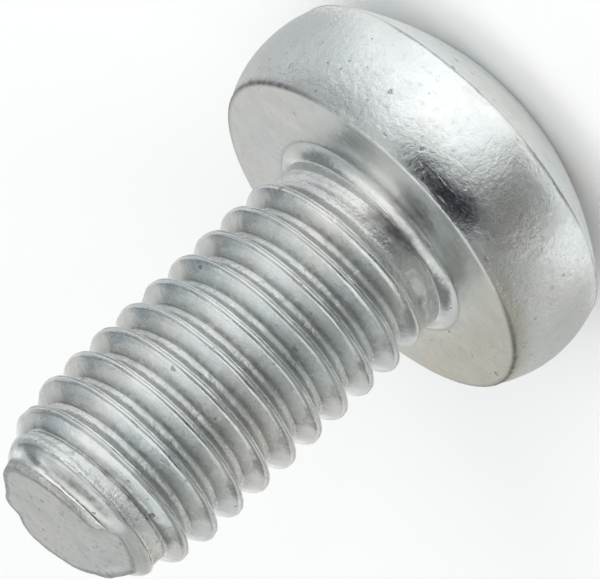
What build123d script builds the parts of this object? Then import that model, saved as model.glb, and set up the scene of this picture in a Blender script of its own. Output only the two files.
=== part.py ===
"""Pan-head thread-forming screw, size M5 x 10, standing on its head.

The screw is one cold-formed piece. Its shank is trilobular: three shallow lobes press a
thread into a plain hole. A rolled 60 degree thread winds from the neck under the head to
the sheared end, where the last three turns taper. The head takes a six-lobe driver.

Millimetres. The origin is the centre of the bearing face under the head. +Z runs along the
shank to the tip, so the head lies below the origin and the screw stands on its crown.
"""

from build123d import *
import os
from math import atan2, cos, degrees, radians, sin, sqrt, tan

# Shank and thread
shank_length = 9.58  # on the axis
thread_pitch = 0.8
thread_turns = 14
mean_radius = 2.405  # of the crests, halfway between lobe and hollow
lobe_height = 0.085  # how far each of the three lobes stands above the mean
lobe_turn = 90.0  # angle of the first lobe, in degrees about Z
thread_depth = 0.46
crest_land = 0.13
flank_angle = 30.0
thread_start = -1.035  # height at which the helix starts, inside the head

# Neck, where the thread runs out below the head
neck_radius = 2.23
neck_top = 0.4
full_thread_from = 1.5

# Tapered point and sheared end
taper_from = 7.3
crest_taper = 0.8  # drop of the crests at the end
root_taper = 0.4  # drop of the thread's bottom at the end
taper_power = 2.1  # the drop grows slowly at first
end_tilt = 5.0  # the sheared face leans off square
end_lean = 160.0  # the way it faces, in degrees about Z

# Head
head_radius = 4.59
belly_height = 1.4
bearing_radius = 4.19
shoulder_radius = 4.415  # of the crease between side and crown
shoulder_height = 2.39
crown_sphere = 6.54
head_height = 3.65  # to the flat rim that the driver's punch leaves on the crown
bearing_round = 0.1  # of the bearing face's outer edge
flare_radius = 2.59  # where the fillet under the head meets the bearing face
flare_height = 0.38

# Six-lobe socket
socket_lobes = 6
socket_width = 4.5
socket_waist = 3.25
socket_lobe_radius = 0.38
socket_depth = 1.9
socket_cone = 0.45
socket_mouth_radius = 2.3
socket_mouth_depth = 0.25

flank_run = thread_depth * tan(radians(flank_angle))
root_land = thread_pitch - crest_land - 2 * flank_run
patch_turn = 60  # each patch of the thread's surface covers this many degrees
first_turn = 30  # so that patches meet on the lobes and in the hollows between them


def ease(share):
    """A smooth rise from 0 to 1."""
    held = min(1.0, max(0.0, share))
    return held * held * (3 - 2 * held)


def lobes(turn):
    """Height of the trilobular outline above its mean, at a turn angle in degrees."""
    return lobe_height * cos(3 * radians(turn - lobe_turn))


def point_share(height):
    """0 along the full thread, growing to 1 at the sheared end."""
    return max(0.0, (height - taper_from) / (shank_length - taper_from)) ** taper_power


def crest_radius(turn, height):
    full = mean_radius + lobes(turn) - crest_taper * point_share(height)
    run_out = ease((height - neck_top) / (full_thread_from - neck_top))
    return neck_radius + (full - neck_radius) * run_out


def root_radius(turn, height):
    full = mean_radius + lobes(turn) - thread_depth - root_taper * point_share(height)
    run_out = ease((height - neck_top) / (full_thread_from - neck_top))
    return neck_radius + (full - neck_radius) * run_out


def helix_point(turn, corner):
    """A point on one of the five edge helices of a turn: crest, root, root, crest, crest."""
    along = [0, flank_run, flank_run + root_land, thread_pitch - crest_land, thread_pitch]
    height = thread_start + thread_pitch * turn / 360 + along[corner]
    radius = root_radius(turn, height) if corner in (1, 2) else crest_radius(turn, height)
    return Vector(radius * cos(radians(turn)), radius * sin(radians(turn)), height)


def helix_poles(turn, corner):
    """Four control points of an edge helix over one patch."""
    nudge = 0.05
    reach = patch_turn * 4 / 3 * tan(radians(patch_turn) / 4) / radians(patch_turn)
    first = helix_point(turn, corner)
    last = helix_point(turn + patch_turn, corner)
    leave = helix_point(turn + nudge, corner) - helix_point(turn - nudge, corner)
    arrive = helix_point(turn + patch_turn + nudge, corner) - helix_point(turn + patch_turn - nudge, corner)
    return [first, first + leave * (reach / (2 * nudge)), last - arrive * (reach / (2 * nudge)), last]


def axis_poles(turn, lift):
    """Four control points on the screw's axis, level with the ends of an edge helix."""
    low = thread_start + thread_pitch * turn / 360 + lift
    step = thread_pitch * patch_turn / 360 / 3
    return [Vector(0, 0, low + step * pole) for pole in range(4)]


def end_wall(turn):
    """The flat wall across one end of the helix, from the axis out to the thread's section."""
    level = thread_start + thread_pitch * turn / 360
    steps = 360 // patch_turn
    axis = [Vector(0, 0, level + thread_pitch * step / steps) for step in range(steps, -1, -1)]
    section = [helix_point(turn, corner) for corner in range(5)]
    return Face(Wire.make_polygon(axis + section, close=True))


# The threaded shank, closed by a helical step at each end that the head and the cut remove
skin = []
last_turn = first_turn + 360 * thread_turns
for turn in range(first_turn, last_turn, patch_turn):
    for corner in range(4):
        skin.append(Face.make_bezier_surface([helix_poles(turn, corner), helix_poles(turn, corner + 1)]))
for turn in range(first_turn, first_turn + 360, patch_turn):
    skin.append(Face.make_bezier_surface([axis_poles(turn, 0), helix_poles(turn, 0)]))
    late = turn + 360 * (thread_turns - 1)
    skin.append(Face.make_bezier_surface([axis_poles(late, thread_pitch), helix_poles(late, 4)]))
skin.append(end_wall(first_turn))
skin.append(end_wall(last_turn))
threaded_shank = Solid(Shell(skin))

screw_name = "screw"
crown_centre = sqrt(crown_sphere**2 - shoulder_radius**2) - shoulder_height

with BuildPart() as screw:
    add(threaded_shank)

    # Sheared end, slightly off square
    lean_x = sin(radians(end_tilt)) * cos(radians(end_lean))
    lean_y = sin(radians(end_tilt)) * sin(radians(end_lean))
    end_plane = Plane(origin=(0, 0, shank_length), z_dir=(lean_x, lean_y, cos(radians(end_tilt))))
    split(bisect_by=end_plane, keep=Keep.BOTTOM)

    # Head and the flare under it, turned about the axis
    with BuildSketch(Plane.XZ) as head_section:
        with BuildLine():
            Line((0, crown_centre - crown_sphere), (0, flare_height))
            Line((0, flare_height), (neck_radius - 0.06, flare_height))
            flare_end = (neck_radius - 0.06, flare_height)
            TangentArc((flare_radius, 0), flare_end, tangent=(-1, 0.25))
            Line((flare_radius, 0), (bearing_radius, 0))
            belly = (head_radius, -belly_height)
            ThreePointArc((bearing_radius, 0), belly, (shoulder_radius, -shoulder_height))
            crown_turn = degrees(atan2(shoulder_radius, shoulder_height + crown_centre))
            CenterArc((0, crown_centre), crown_sphere, -90, crown_turn)
        make_face()
        bearing_corner = head_section.vertices().sort_by_distance((bearing_radius, 0))[0]
        fillet(bearing_corner, bearing_round)
    revolve(axis=Axis.Z)
    split(bisect_by=Plane.XY.offset(-head_height), keep=Keep.TOP)

    # Six-lobe socket: round lobes joined by wide hollows, tangent where they meet
    with BuildSketch(Plane.XY.offset(-head_height - 1)):
        lobe_centre = socket_width / 2 - socket_lobe_radius
        waist = socket_waist / 2
        half_step = radians(180 / socket_lobes)
        top = lobe_centre**2 + waist**2 - 2 * lobe_centre * waist * cos(half_step) - socket_lobe_radius**2
        hollow_radius = top / (2 * (socket_lobe_radius - waist + lobe_centre * cos(half_step)))
        hollow_centre = waist + hollow_radius
        meet_y = hollow_centre * sin(half_step)
        meet_x = hollow_centre * cos(half_step) - lobe_centre
        meet = degrees(atan2(meet_y, meet_x))
        with BuildLine():
            for lobe in range(socket_lobes):
                facing = 360 / socket_lobes * lobe
                between = facing + 180 / socket_lobes
                lobe_spot = (lobe_centre * cos(radians(facing)), lobe_centre * sin(radians(facing)))
                hollow_spot = (hollow_centre * cos(radians(between)), hollow_centre * sin(radians(between)))
                CenterArc(lobe_spot, socket_lobe_radius, facing - meet, 2 * meet)
                CenterArc(hollow_spot, hollow_radius, between + 210 - meet, 2 * meet - 60)
        make_face()
    extrude(amount=socket_depth + 1, mode=Mode.SUBTRACT)
    with Locations((0, 0, -head_height)):
        Cone(
            socket_mouth_radius,
            waist + 0.1,
            socket_mouth_depth,
            align=(Align.CENTER, Align.CENTER, Align.MIN),
            mode=Mode.SUBTRACT,
        )
    with Locations((0, 0, socket_depth - head_height)):
        Cone(
            waist - 0.1,
            0.25,
            socket_cone,
            align=(Align.CENTER, Align.CENTER, Align.MIN),
            mode=Mode.SUBTRACT,
        )

screw.part.label = screw_name
os.makedirs("parts", exist_ok=True)
export_step(screw.part, f"parts/{screw_name}.step")
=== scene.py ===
from math import acos, atan2, cos, degrees, pi, radians, sin, sqrt, tan

import bpy
import numpy as np
from mathutils import Matrix, Vector


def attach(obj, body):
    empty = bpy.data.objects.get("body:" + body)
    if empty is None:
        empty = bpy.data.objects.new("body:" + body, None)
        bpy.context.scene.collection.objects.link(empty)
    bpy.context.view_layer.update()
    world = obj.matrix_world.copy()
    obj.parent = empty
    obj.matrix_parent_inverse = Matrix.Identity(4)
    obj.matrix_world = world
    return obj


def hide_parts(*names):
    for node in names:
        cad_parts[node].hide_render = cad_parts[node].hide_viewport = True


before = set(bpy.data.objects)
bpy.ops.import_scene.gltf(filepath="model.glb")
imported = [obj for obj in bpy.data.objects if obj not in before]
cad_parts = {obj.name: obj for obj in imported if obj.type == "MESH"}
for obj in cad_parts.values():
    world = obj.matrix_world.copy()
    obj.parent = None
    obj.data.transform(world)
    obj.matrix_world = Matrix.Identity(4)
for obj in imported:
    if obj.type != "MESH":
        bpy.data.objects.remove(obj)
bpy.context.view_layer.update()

# A thread-forming screw standing on its head, with its tip up along +Z.
# The screw is worked out in millimetres and angles round its axis, and built in metres.
MM = 0.001

# The picture: a long lens, seen from the screw's tip side and rolled
picture_width = 600
picture_height = 579
pixels_per_mm = 47.0
bearing_centre_pixel = (369.9, 236.05)
camera_elevation = radians(20.25)
camera_roll = radians(-132.8)
lens = 1000.0
sensor = 36.0

# Shank and thread
shank_length = 9.58
pitch = 0.8
flank_angle = radians(30.0)
mean_radius = 2.405  # of the crests, halfway between lobe and hollow
lobe_height = 0.085
lobe_turn = radians(90.0)
crest_round = 0.105
root_round = 0.135
thread_start = -1.1  # height of a crest's middle where the helix crosses +X
neck_radius = 2.23
neck_top = 0.4
full_thread_from = 1.5
skin_radius = 2.4  # of the cylinder on which the shank's noise is read

# Tapered point and sheared end
taper_from = 7.3
crest_taper = 0.8  # drop of the crests at the end
root_taper = 0.4  # drop of the thread's bottom at the end
taper_power = 2.1
end_top = 9.716  # highest point of the sheared rim
end_tilt = radians(5.0)
end_lean = radians(160.0)
end_margin = 0.0015  # how far the torn face lies below the plane of the cut
last_crest_turns = 12  # whole pitches from the thread's start to the last turn at +X
crest_cut_off = radians(100.0)  # where the sheared end cuts the last crest off

# Head
head_radius = 4.585
belly_height = 1.4
bearing_radius = 4.19
bearing_round = 0.1
shoulder_radius = 4.415
shoulder_height = 2.39
crown_sphere = 6.54
head_height = 3.65
flare_radius = 2.59
flare_height = 0.38
flare_slope = radians(166.0)
flare_overlap = 0.06  # how far inside the neck's skin the flare ends
crown_floor = 0.03 - head_height  # the crown is plain below this, where it stands on the floor

# Six-lobe socket
socket_width = 4.5
socket_waist = 3.25
socket_lobe_radius = 0.38
socket_depth = 1.9
socket_cone = 0.45
cone_tip_radius = 0.25
mouth_radius = 2.3
mouth_depth = 0.25
mouth_step = 0.1  # between the waist and the foot of the mouth, and the rim of the cone

columns = 256  # of the mesh, round the axis
settle_passes = 4  # in which points find the height at which the slanted end cuts them off

# Numbers that mix the noise's cells
noise_primes = (73856093, 19349663, 83492791)
seed_prime = 2654435761
mixing_prime = 1274126177


# Noise and small helpers
def smooth_noise(points, cell, seed):
    """Value noise from -1 to 1 on an array of points, smooth over cells of the given size."""
    cells_from_corner = 1000.0
    scaled = points / cell + cells_from_corner
    whole = np.floor(scaled).astype(np.int64)
    part = scaled - whole
    part = part * part * (3 - 2 * part)
    total = np.zeros(points.shape[:-1])
    for corner in range(8):
        offset = np.array([corner & 1, corner >> 1 & 1, corner >> 2 & 1])
        mixed = (whole + offset) * noise_primes
        key = mixed[..., 0] ^ mixed[..., 1] ^ mixed[..., 2] ^ seed * seed_prime
        key = (key ^ key >> 13) * mixing_prime
        value = ((key ^ key >> 16) & 0xFFFF) / 32767.5 - 1
        weight = np.where(offset, part, 1 - part).prod(axis=-1)
        total += weight * value
    return total


def ease(share):
    held = np.clip(share, 0, 1)
    return held * held * (3 - 2 * held)


def rise(value, start, run):
    """A smooth rise from 0 at the start to 1 a run later."""
    return ease((value - start) / run)


def hump(value, centre, width):
    """A smooth hump: 1 at its centre and 0 a width away."""
    return ease(1 - np.abs(value - centre) / width)


def turn_hump(angle, centre, width):
    """The same round the axis, with the angle in radians and the rest in degrees."""
    away = (np.degrees(angle) - centre + 180) % 360 - 180
    return hump(away, 0, width)


def place(angle, radius, height):
    return np.stack([radius * np.cos(angle), radius * np.sin(angle), height + 0 * angle], axis=-1)


def filled(radius, level, share):
    """The radius, brought up to a level by a share where it lies below."""
    return radius + share * np.clip(level - radius, 0, None)


# Thread
def thread_section():
    """One pitch of the thread, from root to root: places along it and depths below the crest."""
    tangent = pi / 2 - flank_angle
    crest_edge = crest_round * sin(tangent)
    root_edge = pitch / 2 - root_round * sin(tangent)
    crest_drop = crest_round * (1 - cos(tangent))
    root_rise = root_round * (1 - cos(tangent))
    depth = pitch / 2 / tan(flank_angle) - crest_round - root_round
    flank_shares = (0.33, 0.67)
    round_points = 5
    along = []
    below = []
    for angle in np.linspace(0, tangent, round_points):
        along.append(-pitch / 2 + root_round * sin(angle))
        below.append(depth - root_round * (1 - cos(angle)))
    for share in flank_shares:
        along.append(-root_edge + share * (root_edge - crest_edge))
        below.append(depth - root_rise - share * (depth - root_rise - crest_drop))
    # Crest: shoulder, seam where the two rolled flanks met, land, faint line, shoulder
    crest = [(-1, 0.5), (-0.78, 0.22), (-0.6, 0.1), (-0.42, 0.72), (-0.24, 0.06)]
    crest += [(0.1, 0.0), (0.42, 0.05), (0.55, 0.2), (0.7, 0.16), (1, 0.5)]
    for share, drop in crest:
        along.append(crest_edge * share)
        below.append(crest_round * drop)
    for share in flank_shares:
        along.append(crest_edge + share * (root_edge - crest_edge))
        below.append(crest_drop + share * (depth - root_rise - crest_drop))
    for angle in np.linspace(tangent, 0, round_points)[:-1]:
        along.append(pitch / 2 - root_round * sin(angle))
        below.append(depth - root_round * (1 - cos(angle)))
    return np.array(along), np.array(below), depth


section_along, section_below, thread_depth = thread_section()
section_rows = len(section_along)


def wrap_phase(phase):
    """Distance along the axis from the nearest crest, positive toward the tip."""
    return (phase + pitch / 2) % pitch - pitch / 2


def section_at(phase):
    """Depth below the crest, from 0 to 1 of the thread's depth, at a place along the pitch."""
    along = np.append(section_along, pitch / 2)
    below = np.append(section_below, section_below[0])
    return np.interp(wrap_phase(phase), along, below) / thread_depth


def full_crest(angle):
    """Radius of the crests along the full thread, with its three lobes and hollows."""
    return mean_radius + lobe_height * np.cos(3 * (angle - lobe_turn))


def thread_share(height):
    """0 on the neck, growing to 1 where the thread is full."""
    return rise(height, start=neck_top, run=full_thread_from - neck_top)


def point_share(height):
    """0 along the full thread, growing to 1 at the sheared end."""
    return np.clip((height - taper_from) / (shank_length - taper_from), 0, None) ** taper_power


def last_crest_height(angle):
    """Height of the thread's last crest, which the sheared end cuts off near +Y."""
    turned = (angle - crest_cut_off) % (2 * pi)
    return thread_start + pitch * (last_crest_turns + (crest_cut_off + turned) / (2 * pi))


def last_crest_share(angle):
    """1 along the last crest, fading out where it ends and where it is still a full crest."""
    turned = np.degrees((angle - crest_cut_off) % (2 * pi))
    return rise(turned, start=40, run=50) * (1 - rise(turned, start=290, run=50))


def fill_share(angle):
    """Where the last groove is filled up to the sheared face, from 0 to 1."""
    flat_top = 1.6
    return ease(flat_top * turn_hump(angle, centre=212, width=48))


def end_bumps(angle):
    """How far the sheared rim is pushed out or torn back round the end."""
    # Angle and half width in degrees, and height
    bumps = [(42, 22, 0.1), (63, 9, -0.06), (86, 26, 0.08)]
    bumps += [(150, 22, -0.05), (187, 12, 0.05), (340, 38, 0.13)]
    rim_radius = 2.0
    total = 0 * angle
    for centre, width, height in bumps:
        total = total + height * turn_hump(angle, centre, width)
    spot = place(angle, rim_radius + 0 * angle, 0 * angle)
    return total + 0.014 * smooth_noise(spot, cell=0.35, seed=21)


def last_grooves(radius, angle, height, last_crest):
    """The radius with the two last grooves as the shearing left them."""
    # The groove before the last crest is shallow
    groove_reach = 0.55
    crest_stand = 0.045
    low_crest = full_crest(angle) - crest_taper * point_share(last_crest)
    before = (height > last_crest - groove_reach) & (height < last_crest)
    radius = filled(radius, low_crest - crest_stand, before * last_crest_share(angle))
    # On one side its flank is a plain slope
    slope_top = 2.235
    slope_fall = 0.92
    past = height - last_crest + pitch
    slope = slope_top - slope_fall * np.clip(past, 0, None)
    beyond = rise(past, start=-0.07, run=0.07) * (past < pitch)
    radius = filled(radius, slope, turn_hump(angle, centre=0, width=60) * beyond)
    # The groove after it is filled up to the sheared face on one side
    fill_top = 2.02
    fill_fall = 0.42
    along = height - last_crest
    level = fill_top - fill_fall * np.clip(along / (shank_length - last_crest), 0, 1)
    radius = filled(radius, level, fill_share(angle) * rise(along, start=0, run=0.05))
    # Beside that it is a short deep lens
    lens_depth = 0.11
    lens_share = turn_hump(angle, centre=284, width=48) * hump(along, centre=0.25, width=0.25)
    return radius - lens_depth * lens_share


def shank_radius(angle, height):
    """Radius of the neck and thread at a turn angle in radians and a height in millimetres."""
    # The last turn was dragged back a little where the wire was sheared
    drag = 0.16 * rise(height, start=8.5, run=0.5) * turn_hump(angle, centre=345, width=70)
    phase = height + drag - thread_start - pitch * angle / (2 * pi)
    spot = place(angle, skin_radius + 0 * angle, height)
    wander = 0.014 * smooth_noise(spot, cell=0.9, seed=3)
    crest = full_crest(angle) - crest_taper * point_share(height)
    root = full_crest(angle) - thread_depth - root_taper * point_share(height)
    radius = crest + (root - crest) * section_at(phase + wander)
    run_out = thread_share(height)
    radius = neck_radius + (radius - neck_radius) * run_out
    radius = last_grooves(radius, angle, height, last_crest_height(angle) - drag)
    # Faint first ridge on the neck, and its hammered skin
    ridge_phase = wrap_phase(phase - 0.03 + wander)
    ridge = 0.03 * hump(ridge_phase, centre=0, width=0.09) * hump(height, centre=0.62, width=0.55)
    hammered = (1 - run_out) * rise(height, start=0.3, run=0.15)
    skin = 0.007 * smooth_noise(spot, cell=0.16, seed=5) * hammered
    # The sheared rim, its lip on the camera's side, and nicks all along the thread
    rim = rise(height, start=shank_length - 0.42, run=0.34) * end_bumps(angle)
    lip = 0.06 * turn_hump(angle, centre=282, width=55) * rise(height, start=shank_length - 0.1, run=0.12)
    nicks = 0.008 * smooth_noise(spot, cell=0.3, seed=9) + 0.004 * smooth_noise(spot, cell=0.12, seed=11)
    return radius + ridge + skin + rim + lip + nicks * run_out


def end_height(x, y, angle, share):
    """Height of the sheared end face at a share of the way out to its rim."""
    fill_drop = 0.3
    plane = shank_length - tan(end_tilt) * (x * cos(end_lean) + y * sin(end_lean))
    lowered = fill_drop * fill_share(angle) * rise(share, start=0.45, run=0.55)
    return np.minimum(plane - end_margin - lowered, end_top)


# Head
def arc_points(centre, radius, start, stop, count):
    turn = np.linspace(radians(start), radians(stop), count)
    return [(centre[0] + radius * cos(a), centre[1] + radius * sin(a)) for a in turn]


def circle_through(first, second, third):
    """Centre and radius of the circle through three points."""
    (ax, ay), (bx, by), (cx, cy) = first, second, third
    spread = 2 * (ax * (by - cy) + bx * (cy - ay) + cx * (ay - by))
    squares = (ax**2 + ay**2, bx**2 + by**2, cx**2 + cy**2)
    x = (squares[0] * (by - cy) + squares[1] * (cy - ay) + squares[2] * (ay - by)) / spread
    y = (squares[0] * (cx - bx) + squares[1] * (ax - cx) + squares[2] * (bx - ax)) / spread
    return (x, y), sqrt((ax - x) ** 2 + (ay - y) ** 2)


def flare_arc():
    """Centre, radius, start and end angle of the fillet between bearing face and neck."""
    run = neck_radius - flare_overlap - flare_radius
    chord = sqrt(run**2 + flare_height**2)
    swing = flare_slope - atan2(flare_height, run)
    radius = chord / (2 * sin(swing))
    side = flare_slope - pi / 2
    centre = (flare_radius + radius * cos(side), radius * sin(side))
    meet = 2 * pi - acos((neck_radius - centre[0]) / radius)
    return centre, radius, degrees(side) + 180, degrees(meet)


flare_centre, flare_arc_radius, flare_start, flare_stop = flare_arc()
foot = flare_centre[1] + flare_arc_radius * sin(radians(flare_stop))
crown_centre = sqrt(crown_sphere**2 - shoulder_radius**2) - shoulder_height
crown_rim = sqrt(crown_sphere**2 - (head_height + crown_centre) ** 2)


def head_profile():
    """Radius and height from the neck's foot over bearing face, side and crown to the socket's rim."""
    rows = arc_points(flare_centre, flare_arc_radius, flare_stop, flare_start, 12)[1:]
    rows += [(flare_radius + 0.03, 0.0)]
    rows += [(radius, 0.0) for radius in np.linspace(flare_radius + 0.1, bearing_radius - 0.12, 12)]
    corner = (bearing_radius, 0.0)
    belly = (head_radius, -belly_height)
    shoulder = (shoulder_radius, -shoulder_height)
    side_centre, side_radius = circle_through(corner, belly, shoulder)
    top = degrees(atan2(-side_centre[1], bearing_radius - side_centre[0]))
    low = degrees(atan2(-shoulder_height - side_centre[1], shoulder_radius - side_centre[0]))
    # Rolled bearing edge, which runs into the side a little below the corner
    edge_inset = 0.062
    edge_overlap = 4
    edge_step = 2.4
    edge = (bearing_radius - edge_inset, -bearing_round)
    rows += arc_points(edge, bearing_round, 90, top + edge_overlap, 5)
    # The crease at the shoulder has a fine groove
    crease_step = 0.35
    crease_width = 0.03
    rows += arc_points(side_centre, side_radius, top - edge_step, low + crease_step, 26)
    rows += [(shoulder_radius - 0.004, -shoulder_height - 0.002)]
    crown_start = -degrees(acos((shoulder_radius - crease_width) / crown_sphere))
    crown_stop = -degrees(acos(crown_rim / crown_sphere))
    rows += arc_points((0, crown_centre), crown_sphere, crown_start, crown_stop, 18)
    return np.array(rows)


def socket_outline(angle):
    """Distance of the six-lobe outline from the axis at each angle."""
    lobe_centre = socket_width / 2 - socket_lobe_radius
    waist = socket_waist / 2
    half = pi / 6
    top = lobe_centre**2 + waist**2 - 2 * lobe_centre * waist * cos(half) - socket_lobe_radius**2
    hollow = top / (2 * (socket_lobe_radius - waist + lobe_centre * cos(half)))
    hollow_centre = waist + hollow
    meet = atan2(hollow_centre * sin(half), hollow_centre * cos(half) - lobe_centre)
    meet_x = lobe_centre + socket_lobe_radius * cos(meet)
    switch = atan2(socket_lobe_radius * sin(meet), meet_x)
    swing = np.abs((angle + half) % (2 * half) - half)
    inside = np.clip(socket_lobe_radius**2 - (lobe_centre * np.sin(swing)) ** 2, 0, None)
    lobe = lobe_centre * np.cos(swing) + np.sqrt(inside)
    off = half - swing
    reach = np.clip(hollow**2 - (hollow_centre * np.sin(off)) ** 2, 0, None)
    waist_side = hollow_centre * np.cos(off) - np.sqrt(reach)
    return np.where(swing < switch, lobe, waist_side)


def head_dents(angle, radius, height):
    """How far the head's skin is pushed in by shallow waves, so that no bump leaves the solid."""
    mean_depth = 0.02
    spot = place(angle, radius, height)
    waves = 0.012 * smooth_noise(spot, cell=1.3, seed=31) + 0.006 * smooth_noise(spot, cell=0.5, seed=32)
    fine = 0.0035 * smooth_noise(spot, cell=0.2, seed=33)
    return mean_depth + waves + fine


# What the skin is like from place to place: grain, dullness, grime with painted shade, and warmth that
# stands in for a reflection, each from 0 to 1
def neck_painted_shade(angle, height):
    """Painted shade: darker from the flare down over the neck on the camera's side, in the corner under
    the head.
    """
    drift = 6 * np.sin(9 * height)
    spread = turn_hump(angle + np.radians(drift), centre=262, width=19)
    return np.sqrt(spread) * hump(height, centre=0.36, width=0.42)


def thread_skin(angle, height):
    """Grain, dullness, and grime with painted shade, of the shank's skin."""
    phase = wrap_phase(height - thread_start - pitch * angle / (2 * pi))
    run_out = thread_share(height)
    last_crest = last_crest_height(angle)
    fill = fill_share(angle) * rise(height, start=last_crest - 0.04, run=0.05)
    rim = rise(height, start=shank_length - 0.1, run=0.1)
    # The head-facing flank and the root are coarse, and the tip-facing flank is smooth
    coarse = np.maximum(1 - rise(phase, start=-0.11, run=0.05), rise(phase, start=0.33, run=0.05))
    grain = 0.15 + 0.85 * coarse * run_out + 0.35 * (1 - run_out)
    dull = 0.1 + 0.25 * coarse * run_out + 0.3 * hump(phase, centre=0.03, width=0.12) * run_out
    dull = dull + 0.8 * np.maximum(fill, 0.5 * rim)
    # Grime and painted shade sit in the crest's seam and line; painted shade at the thread's bottom,
    # stronger on the camera's side; a painted shadow under the last crest; the torn rim is darker too
    seam = 0.5 * hump(phase, centre=-0.03, width=0.03) + 0.3 * hump(phase, centre=0.045, width=0.02)
    seam = seam + 0.8 * hump(phase, centre=0.29, width=0.12)
    clean = rise(height, start=last_crest + 0.16, run=0.08) * turn_hump(angle, centre=278, width=70)
    facing = 0.35 + 0.65 * turn_hump(angle, centre=270, width=95)
    under_crest = hump(height, last_crest + 0.13, width=0.11) * turn_hump(angle, centre=275, width=60)
    grime_and_shade = seam * (1 - clean) * facing * run_out + (0.4 * rim + under_crest) * (1 - fill)
    grime_and_shade = np.clip(grime_and_shade, 0, 1) * (1 - 0.8 * fill)
    return np.clip(grain, 0, 1), np.clip(dull, 0, 1), np.maximum(grime_and_shade, neck_painted_shade(angle, height))


def head_skin(angle, radius, height):
    """Grain, dullness, and grime with painted shade, round one ring of the head."""
    sides = rise(np.abs(np.cos(angle)), start=0.55, run=0.3)
    # Darker along the bearing edge on the ±X sides; painted shade in the crease at the shoulder, at the
    # flare's edge and over the neck
    dark_bearing_edge = hump(radius, bearing_radius, width=0.09) * (height > -0.2)
    crease = hump(height, -shoulder_height, width=0.025)
    flare_edge = hump(radius, flare_radius, width=0.05) * (-0.01 < height < 0.05)
    grime_and_shade = np.clip(0.9 * dark_bearing_edge * sides + 0.5 * crease + 0.4 * flare_edge, 0, 1)
    if 0 < height < 0.5:
        grime_and_shade = np.maximum(grime_and_shade, neck_painted_shade(angle, height))
    if height < -shoulder_height:
        # Crown
        return 0.75, 0.8, grime_and_shade
    if height < -0.02:
        # Side, polished where it faces the camera
        polished = turn_hump(angle, centre=268, width=62)
        low = hump(height, centre=-0.35, width=0.55)
        return 0.75 - (0.3 + 0.3 * low) * polished, 0.42 - (0.2 + 0.2 * low) * polished, grime_and_shade
    if radius > flare_radius:
        # Bearing face
        return 0.08 + 0.5 * sides, 0.1 * sides, grime_and_shade
    return 0.12, 0.06, grime_and_shade


def painted_warm_reflection(points):
    """A faint warm tint painted on the -X side of the bearing face, standing in for a warm reflection
    there.
    """
    x, y, z = points.T
    outer = rise(np.hypot(x, y), start=2.4, run=0.4)
    return rise(-x, start=1.6, run=1.8) * outer * rise(z, start=-0.5, run=0.4) * (z < 0.1)


# The screw's mesh
class SurfaceMesh:
    """Points in millimetres, faces, and what each point's skin is like."""

    def __init__(self):
        self.points = []
        self.grain = []
        self.dull = []
        self.grime_and_shade = []
        self.faces = []

    def add_points(self, xyz, grain, dull, grime_and_shade):
        first = len(self.points)
        count = len(xyz)
        self.points.extend(map(tuple, xyz))
        self.grain.extend(np.broadcast_to(grain, count))
        self.dull.extend(np.broadcast_to(dull, count))
        self.grime_and_shade.extend(np.broadcast_to(grime_and_shade, count))
        return np.arange(first, first + count)

    def bridge(self, near, far, outward=True):
        """Faces between two closed rings of points."""
        for a, b, c, d in zip(near, far, np.roll(far, -1), np.roll(near, -1)):
            self.faces.append((a, b, c, d) if outward else (a, d, c, b))

    def close(self, ring, tip, outward=True):
        """Faces between a closed ring and one point."""
        for a, b in zip(ring, np.roll(ring, -1)):
            self.faces.append((a, tip, b) if outward else (a, b, tip))


def add_shank(mesh, angle):
    """The helical rows of the thread, cut off at the neck's foot and at the sheared end."""
    spare_turns = 3
    turns = int((shank_length - thread_start) / pitch) + spare_turns
    rows = turns * section_rows
    total = rows + section_rows
    sample = np.arange(total)
    along = section_along[sample % section_rows] + pitch * (sample // section_rows)
    height = thread_start + pitch * angle[:, None] / (2 * pi) + along[None, :]
    turn = np.repeat(angle[:, None], total, axis=1)
    ceiling = np.full(height.shape, shank_length)
    for _ in range(settle_passes):
        settled = np.clip(height, foot, ceiling)
        radius = shank_radius(turn, settled)
        ceiling = end_height(radius * np.cos(turn), radius * np.sin(turn), turn, share=1.0)
    rim_height = np.full(columns, shank_length)
    for _ in range(settle_passes):
        rim_radius = shank_radius(angle, rim_height)
        rim_height = end_height(rim_radius * np.cos(angle), rim_radius * np.sin(angle), angle, share=1.0)
    low = height <= foot
    high = height >= ceiling

    foot_height = np.full(columns, foot)
    foot_points = place(angle, shank_radius(angle, foot_height), foot_height)
    # The ring at the neck's foot, in the corner under the head, is painted a little darker as shade
    foot_ring = mesh.add_points(foot_points, grain=0.5, dull=0.3, grime_and_shade=0.3)
    # The sheared rim is darker, most on the camera's side, except where the groove is filled
    torn_edge = (0.6 + 0.4 * turn_hump(angle, centre=285, width=60)) * (1 - fill_share(angle))
    rim_ring = mesh.add_points(place(angle, rim_radius, rim_height), grain=0.8, dull=0.9, grime_and_shade=torn_edge)
    index = np.where(low, foot_ring[:, None], rim_ring[:, None])
    free = ~low & ~high
    free_points = place(turn[free], radius[free], settled[free])
    index[free] = mesh.add_points(free_points, *thread_skin(turn[free], settled[free]))
    for i in range(columns):
        if i < columns - 1:
            following = index[i + 1, :rows]
        else:
            # The last column joins the first one a pitch further up
            following = index[0, section_rows : section_rows + rows]
        for r in range(rows - 1):
            corners = (index[i, r], following[r], following[r + 1], index[i, r + 1])
            ring = tuple(dict.fromkeys(corners))
            if len(ring) > 2:
                mesh.faces.append(ring)
    return foot_ring, rim_ring, rim_radius


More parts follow.
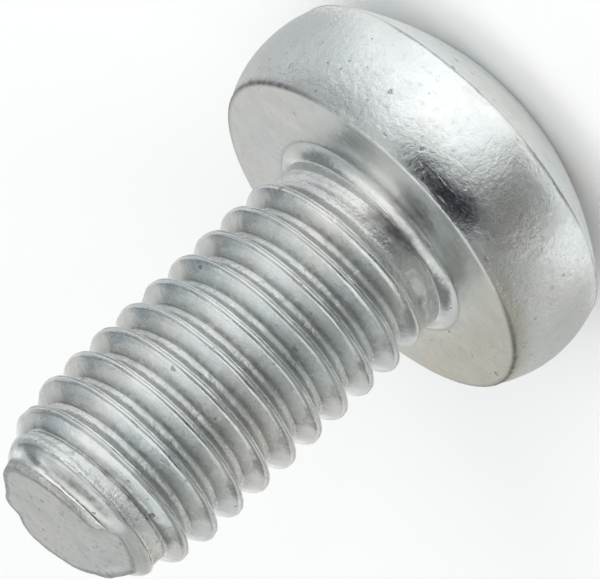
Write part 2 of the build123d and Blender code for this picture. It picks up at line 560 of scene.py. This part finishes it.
def add_head(mesh, angle, foot_ring):
    """The flare, bearing face, side and crown, turned about the axis and lightly dented."""
    dented_outside = 2.7
    dented_below = -0.05
    crown_lean = 0.35
    last = foot_ring
    ones = np.ones(columns)
    for radius, height in head_profile():
        dent = 0 * ones
        if radius > dented_outside and crown_floor < height < dented_below:
            dent = head_dents(angle, radius * ones, height * ones)
        lean = crown_lean if height < -shoulder_height else 1.0
        xyz = place(angle, radius - dent * lean, height + dent * (1 - lean))
        fresh = mesh.add_points(xyz, *head_skin(angle, radius, height))
        mesh.bridge(last, fresh)
        last = fresh
    return last


def add_socket(mesh, angle, rim):
    """The mouth, walls, floor and cone of the driver socket."""
    wall_inset = 0.01
    ones = np.ones(columns)
    outline = socket_outline(angle)
    mouth_foot = socket_waist / 2 + mouth_step
    cone_rim = socket_waist / 2 - mouth_step
    mouth_drop = mouth_depth * (mouth_radius - outline) / (mouth_radius - mouth_foot)
    floor = socket_depth - head_height
    levels = [(mouth_radius * ones, -head_height * ones)]
    for share in (0.35, 0.7, 0.96):
        levels.append((mouth_radius + share * (outline - mouth_radius), -head_height + share * mouth_drop))
    for share in np.linspace(0.02, 1, 8):
        depth = mouth_drop + share * (socket_depth - mouth_drop)
        levels.append((outline - wall_inset, depth - head_height))
    for share in (0.3, 0.7, 1.0):
        levels.append((outline + share * (cone_rim - outline), floor * ones))
    for share in (0.25, 0.5, 0.75, 1.0):
        cone_radius = cone_rim + share * (cone_tip_radius - cone_rim)
        levels.append((cone_radius * ones, (floor + share * socket_cone) * ones))
    last = rim
    for radius, height in levels:
        fresh = mesh.add_points(place(angle, radius, height), grain=0.5, dull=0.4, grime_and_shade=0.25)
        mesh.bridge(last, fresh)
        last = fresh
    tip = mesh.add_points(np.array([[0, 0, floor + socket_cone]]), grain=0.5, dull=0.4, grime_and_shade=0.3)[0]
    mesh.close(last, tip)


def add_end_face(mesh, angle, rim_ring, rim_radius):
    """The torn, slightly domed face where the wire was sheared."""
    torn_fade = 8
    bump_lift = 0.3
    highest_tear = 0.025
    rim_width = 0.06
    last = rim_ring
    bumps = end_bumps(angle)
    for share in (0.985, 0.95, 0.9, 0.83, 0.75, 0.66, 0.56, 0.46, 0.36, 0.26, 0.17, 0.08):
        radius = rim_radius * share
        x = radius * np.cos(angle)
        y = radius * np.sin(angle)
        flat = np.stack([x, y, np.ones(columns)], axis=-1)
        torn = 0.016 * smooth_noise(flat, cell=0.5, seed=8) + 0.008 * smooth_noise(flat, cell=0.2, seed=12)
        level = end_height(x, y, angle, share)
        height = level + torn * min(1, (1 - share) * torn_fade) + bump_lift * bumps * share**4
        height = np.minimum(height, np.minimum(level + highest_tear, end_top))
        # The end face is darker near its rim
        rim_darkening = 0.47 if share > 1 - rim_width else 0.12
        fresh = mesh.add_points(place(angle, radius, height), grain=1.0, dull=1.0, grime_and_shade=rim_darkening)
        mesh.bridge(last, fresh, outward=False)
        last = fresh
    tip = mesh.add_points(np.array([[0, 0, shank_length]]), grain=0.9, dull=1.0, grime_and_shade=0.1)[0]
    mesh.close(last, tip, outward=False)


def build_screw():
    angle = np.arange(columns) * 2 * pi / columns
    mesh = SurfaceMesh()
    foot_ring, rim_ring, rim_radius = add_shank(mesh, angle)
    rim = add_head(mesh, angle, foot_ring)
    add_socket(mesh, angle, rim)
    add_end_face(mesh, angle, rim_ring, rim_radius)

    data = bpy.data.meshes.new("screw_body")
    points = np.array(mesh.points)
    data.from_pydata((points * MM).tolist(), [], [[int(v) for v in face] for face in mesh.faces])
    data.polygons.foreach_set("use_smooth", [True] * len(data.polygons))
    skins = {"grain": mesh.grain, "dull": mesh.dull, "grime_and_shade": mesh.grime_and_shade, "warm": painted_warm_reflection(points)}
    for name, values in skins.items():
        layer = data.attributes.new(name, "FLOAT", "POINT")
        layer.data.foreach_set("value", np.array(values, dtype=np.float32))
    data.update()
    screw = bpy.data.objects.new("screw_body", data)
    bpy.context.scene.collection.objects.link(screw)
    return screw


# Materials
class NodeBoard:
    """Short calls for the nodes of one tree."""

    def __init__(self, tree):
        self.tree = tree

    def node(self, kind, **settings):
        made = self.tree.nodes.new(kind)
        for name, value in settings.items():
            setattr(made, name, value)
        return made

    def link(self, source, target):
        if isinstance(source, (int, float)):
            target.default_value = source
        else:
            self.tree.links.new(source, target)

    def math(self, operation, first, second=0.0, third=0.0):
        made = self.node("ShaderNodeMath", operation=operation)
        for socket, value in zip(made.inputs, (first, second, third)):
            self.link(value, socket)
        return made.outputs[0]

    def times(self, first, second):
        return self.math("MULTIPLY", first, second)

    def added(self, base, value, amount):
        """The base plus a value times an amount."""
        return self.math("MULTIPLY_ADD", value, amount, base)

    def ramp(self, value, low, high, out_low=0.0, out_high=1.0):
        """A smooth climb from one output to the other while the value goes from low to high."""
        made = self.node("ShaderNodeMapRange", interpolation_type="SMOOTHSTEP")
        self.link(value, made.inputs["Value"])
        made.inputs["From Min"].default_value = low
        made.inputs["From Max"].default_value = high
        made.inputs["To Min"].default_value = out_low
        made.inputs["To Max"].default_value = out_high
        return made.outputs[0]

    def mix(self, share, first, second, blend="MIX"):
        made = self.node("ShaderNodeMix", data_type="RGBA", blend_type=blend)
        self.link(share, made.inputs[0])
        for value, socket in ((first, made.inputs[6]), (second, made.inputs[7])):
            if isinstance(value, tuple):
                socket.default_value = (*value, 1)
            else:
                self.tree.links.new(value, socket)
        return made.outputs[2]

    def vector(self, operation, first):
        made = self.node("ShaderNodeVectorMath", operation=operation)
        self.link(first, made.inputs[0])
        return made

    def noise(self, vector, scale, detail=2.0, roughness=0.5, output="Fac"):
        made = self.node("ShaderNodeTexNoise")
        self.link(vector, made.inputs["Vector"])
        made.inputs["Scale"].default_value = scale
        made.inputs["Detail"].default_value = detail
        made.inputs["Roughness"].default_value = roughness
        return made.outputs[output]

    def specks(self, vector, scale, size, share):
        """Soft specks in a given share of the cells, 1 inside and 0 outside."""
        made = self.node("ShaderNodeTexVoronoi", feature="F1")
        self.link(vector, made.inputs["Vector"])
        made.inputs["Scale"].default_value = scale
        near = self.ramp(made.outputs["Distance"], size, size / 2)
        parts = self.node("ShaderNodeSeparateColor")
        self.link(made.outputs["Color"], parts.inputs[0])
        return self.times(near, self.math("LESS_THAN", parts.outputs[0], share))


def zinc_material():
    """Bright zinc plate on rolled steel: satin, mottled and pitted, with grime and painted shade in its
    seams and hollows, and a painted warm reflection.
    """
    material = bpy.data.materials.new("bright_zinc")
    material.use_nodes = True
    board = NodeBoard(material.node_tree)
    shader = material.node_tree.nodes["Principled BSDF"]
    shader.inputs["Metallic"].default_value = 1.0

    # Patterns, in millimetres on the object
    to_mm = board.vector("SCALE", board.node("ShaderNodeTexCoord").outputs["Object"])
    to_mm.inputs["Scale"].default_value = 1 / MM
    spot = to_mm.outputs[0]
    mottle = board.noise(spot, scale=1.1, detail=4, roughness=0.6)
    cloud = board.noise(spot, scale=0.35, detail=2, roughness=0.5)
    flecks = board.noise(spot, scale=6.5, detail=5, roughness=0.7)
    fine = board.noise(spot, scale=22.0, detail=4, roughness=0.65)
    drawn = board.node("ShaderNodeMapping")
    board.link(spot, drawn.inputs["Vector"])
    drawn.inputs["Rotation"].default_value = (0.5, 0.3, 0.7)
    drawn.inputs["Scale"].default_value = (0.25, 2.2, 2.6)
    scratch = board.noise(drawn.outputs[0], scale=5.0, detail=3, roughness=0.6)

    # Specks have ragged outlines
    ragged = board.vector("MULTIPLY_ADD", board.noise(spot, scale=8.0, output="Color"))
    ragged.inputs[1].default_value = (0.16, 0.16, 0.16)
    board.link(spot, ragged.inputs[2])
    pits = board.specks(ragged.outputs[0], scale=1.5, size=0.11, share=0.35)
    dots = board.specks(ragged.outputs[0], scale=3.6, size=0.16, share=0.2)
    rust = board.specks(ragged.outputs[0], scale=0.55, size=0.1, share=0.14)

    skin = {}
    for name in ("grain", "dull", "grime_and_shade", "warm"):
        skin[name] = board.node("ShaderNodeAttribute", attribute_name=name).outputs["Fac"]
    # Grime and painted shade, broken up by the flecks
    shade_and_grime_marks = board.times(skin["grime_and_shade"], board.ramp(flecks, low=0.3, high=0.7, out_low=0.6))

    # Colour: cool grey with bluish and greenish clouds, darker in flecks and pits, with grime and painted
    # shade in seams, roots, creases and corners
    bluish = (0.82, 0.86, 0.868)
    yellowish = (0.88, 0.875, 0.855)
    greenish = (0.7, 0.735, 0.715)
    fleck_grey = (0.36, 0.365, 0.35)
    pit_grey = (0.2, 0.2, 0.19)
    dot_grey = (0.24, 0.235, 0.22)
    rust_brown = (0.33, 0.24, 0.15)
    warm_tint = (0.86, 0.81, 0.72)
    shade_and_grime_grey = (0.16, 0.16, 0.15)
    colour = board.mix(board.ramp(cloud, low=0.35, high=0.65), bluish, yellowish)
    colour = board.mix(board.ramp(mottle, low=0.35, high=0.7, out_high=0.4), colour, greenish)
    dark = board.times(board.ramp(flecks, low=0.56, high=0.72), board.times(skin["grain"], 0.6))
    colour = board.mix(dark, colour, fleck_grey)
    colour = board.mix(board.times(pits, 0.6), colour, pit_grey)
    colour = board.mix(board.times(dots, 0.5), colour, dot_grey)
    colour = board.mix(board.times(rust, 0.55), colour, rust_brown)
    # A warm painted reflection on the -X side of the bearing face
    colour = board.mix(skin["warm"], colour, warm_tint, "MULTIPLY")
    # Grime and painted shade darken the colour
    colour = board.mix(shade_and_grime_marks, colour, shade_and_grime_grey)
    board.link(colour, shader.inputs["Base Color"])

    # Roughness: satin, coarser on the rolled bands and dull on the crown and the torn end
    rough = board.ramp(mottle, low=0.3, high=0.7, out_low=0.08, out_high=0.2)
    rough = board.added(rough, skin["dull"], amount=0.42)
    rough = board.added(rough, shade_and_grime_marks, amount=0.3)
    rough = board.added(rough, board.math("SUBTRACT", flecks, 0.5), amount=0.3)
    board.link(rough, shader.inputs["Roughness"])

    # Relief: rolled waves, a fine crystalline grain, scratches and pits
    height = board.times(board.times(flecks, skin["grain"]), 2.2)
    height = board.added(height, fine, amount=board.added(0.06, skin["grain"], amount=0.25))
    height = board.added(height, mottle, amount=1.2)
    height = board.added(height, board.ramp(scratch, low=0.6, high=0.7), amount=-0.12)
    height = board.added(height, board.math("ADD", pits, dots), amount=-0.5)
    bump = board.node("ShaderNodeBump")
    bump.inputs["Strength"].default_value = 0.8
    bump.inputs["Distance"].default_value = 0.022 * MM
    board.link(height, bump.inputs["Height"])
    board.link(bump.outputs["Normal"], shader.inputs["Normal"])
    return material


# Camera, light and floor
def add_camera():
    to_camera = Vector((0, -cos(camera_elevation), sin(camera_elevation)))
    forward = -to_camera
    level = forward.cross(Vector((0, 0, 1))).normalized()
    upright = level.cross(forward).normalized()
    right = level * cos(camera_roll) + upright * sin(camera_roll)
    up = upright * cos(camera_roll) - level * sin(camera_roll)
    metres_per_pixel = MM / pixels_per_mm
    off_x = picture_width / 2 - bearing_centre_pixel[0]
    off_y = bearing_centre_pixel[1] - picture_height / 2
    aim = right * off_x * metres_per_pixel + up * off_y * metres_per_pixel
    distance = lens / sensor * picture_width * metres_per_pixel
    data = bpy.data.cameras.new("camera")
    data.lens = lens
    data.sensor_width = sensor
    data.sensor_fit = "HORIZONTAL"
    data.clip_start = 0.005
    data.clip_end = 50
    camera = bpy.data.objects.new("camera", data)
    bpy.context.scene.collection.objects.link(camera)
    turn = Matrix((right, up, to_camera)).transposed()
    camera.matrix_world = Matrix.Translation(aim + to_camera * distance) @ turn.to_4x4()
    bpy.context.scene.camera = camera


def build_world():
    """A pale studio with lighter and darker stretches, worked out from the direction."""
    world = bpy.data.worlds.new("studio")
    bpy.context.scene.world = world
    world.use_nodes = True
    world.node_tree.nodes.clear()
    board = NodeBoard(world.node_tree)
    output = board.node("ShaderNodeOutputWorld")
    background = board.node("ShaderNodeBackground")
    board.link(background.outputs[0], output.inputs[0])
    coordinates = board.node("ShaderNodeTexCoord")
    parts = board.node("ShaderNodeSeparateXYZ")
    board.link(coordinates.outputs["Generated"], parts.inputs[0])
    # Azimuth from the camera's side toward +X, and elevation, both in degrees
    facing = board.math("ARCTAN2", parts.outputs[0], board.times(parts.outputs[1], -1.0))
    azimuth = board.math("DEGREES", facing)
    elevation = board.math("DEGREES", board.math("ARCSINE", parts.outputs[2]))
    patches = [
        # azimuth, half width, elevation, half height, soft edge, colour
        (0, 400, 85, 30, 14, (1.0, 1.0, 0.99)),  # ceiling
        (136, 34, 46, 18, 12, (0.42, 0.47, 0.5)),  # behind on the right, high
        (-128, 36, 68, 14, 10, (0.66, 0.71, 0.69)),  # behind on the left, high
        (100, 46, 29, 16, 6, (0.2, 0.22, 0.23)),  # right, above the level
        (-100, 46, 29, 16, 6, (0.2, 0.21, 0.2)),  # left, above the level
        (90, 36, -2, 14, 8, (0.58, 0.62, 0.66)),  # right, level
        (180, 30, 22, 14, 8, (0.6, 0.6, 0.585)),  # behind, mirrored in the bearing face
        (36, 19, -8, 21, 8, (1.25, 1.25, 1.24)),  # the white stretch on the head's side
        (36, 19, 24, 10, 5, (0.55, 0.56, 0.56)),  # above it
        (-88, 22, 0, 16, 10, (0.52, 0.51, 0.49)),  # left, level
        (-40, 27, 4, 14, 7, (0.1, 0.1, 0.09)),  # the dark patch on the head's side
        (-12, 30, 30, 14, 4, (0.02, 0.022, 0.03)),  # the dark bar near the bearing edge
    ]
    studio_grey = (0.72, 0.725, 0.72)
    colour = studio_grey
    for centre, half_width, middle, half_height, soft, tint in patches:
        away = board.math("WRAP", board.math("SUBTRACT", azimuth, centre), 180.0, -180.0)
        across = board.ramp(board.math("ABSOLUTE", away), half_width + soft, half_width - soft)
        off_level = board.math("ABSOLUTE", board.math("SUBTRACT", elevation, middle))
        along = board.ramp(off_level, half_height + soft, half_height - soft)
        colour = board.mix(board.times(across, along), colour, tint)
    # To the camera the studio is plain white, behind the floor's far edge
    path = board.node("ShaderNodeLightPath")
    seen = board.mix(path.outputs["Is Camera Ray"], colour, (1, 1, 1))
    board.link(seen, background.inputs["Color"])


def add_stage(name, corners, material):
    mesh = bpy.data.meshes.new(name)
    mesh.from_pydata(corners, [], [tuple(range(len(corners)))])
    mesh.materials.append(material)
    stage = bpy.data.objects.new(name, mesh)
    bpy.context.scene.collection.objects.link(stage)
    return stage


def build_floor():
    reach = 2.0  # metres, out from the screw
    level = -head_height * MM
    material = bpy.data.materials.new("white_floor")
    material.use_nodes = True
    shader = material.node_tree.nodes["Principled BSDF"]
    shader.inputs["Base Color"].default_value = (0.95, 0.95, 0.95, 1)
    shader.inputs["Roughness"].default_value = 0.9
    shader.inputs["Specular IOR Level"].default_value = 0.1
    corners = [(x * reach, y * reach, level) for x, y in ((-1, -1), (1, -1), (1, 1), (-1, 1))]
    add_stage("floor", corners, material)


def add_card(name, inner, outer, colour):
    """A card on the floor that shows only in the metal.

    Each edge is an arc about the screw: its radius in millimetres, and the azimuths of its ends.
    """
    lift = 0.02
    arc_steps = 6
    level = (lift - head_height) * MM
    there_and_back = (inner, (outer[0], outer[2], outer[1]))
    corners = []
    for radius, start, stop in there_and_back:
        for azimuth in np.linspace(radians(start), radians(stop), arc_steps):
            corners.append((sin(azimuth) * radius * MM, -cos(azimuth) * radius * MM, level))
    material = bpy.data.materials.new(name)
    material.use_nodes = True
    nodes = material.node_tree.nodes
    nodes.remove(nodes["Principled BSDF"])
    glow = nodes.new("ShaderNodeEmission")
    glow.inputs["Color"].default_value = (*colour, 1)
    material.node_tree.links.new(glow.outputs[0], nodes["Material Output"].inputs[0])
    card = add_stage(name, corners, material)
    card.visible_camera = False
    card.visible_diffuse = False
    card.visible_shadow = False
    card.visible_transmission = False


def add_light(name, spot, size, energy):
    """A wide soft lamp, in metres and watts, that lights the floor and doesn't show in the metal."""
    data = bpy.data.lights.new(name, "AREA")
    data.shape = "DISK"
    data.size = size
    data.energy = energy
    light = bpy.data.objects.new(name, data)
    light.location = spot
    light.rotation_euler = Vector(spot).to_track_quat("Z", "Y").to_euler()
    light.visible_glossy = False
    light.visible_camera = False
    bpy.context.scene.collection.objects.link(light)


bpy.context.scene.view_settings.view_transform = "Standard"
add_camera()
build_world()
build_floor()
add_card("near_dark_card", inner=(5.6, -10, -40), outer=(11.0, -14, -54), colour=(0.32, 0.32, 0.305))
add_card("dark_card", inner=(11.0, -14, -54), outer=(60.0, -12, -66), colour=(0.1, 0.1, 0.09))
add_card("bright_card", inner=(5.0, -2, 40), outer=(60.0, 5, 56), colour=(1.2, 1.2, 1.19))
add_card("right_card", inner=(5.5, -74, -170), outer=(60.0, -74, -170), colour=(0.55, 0.545, 0.52))
add_card("left_card", inner=(5.5, 72, 170), outer=(60.0, 72, 170), colour=(0.58, 0.6, 0.61))
add_light("overhead_light", spot=(0.15, -0.1, 1.0), size=1.2, energy=2.7)
add_light("front_light", spot=(0.1, -0.9, 0.4), size=0.9, energy=8.0)
screw = build_screw()
screw.data.materials.append(zinc_material())
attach(screw, "root")
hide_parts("screw")
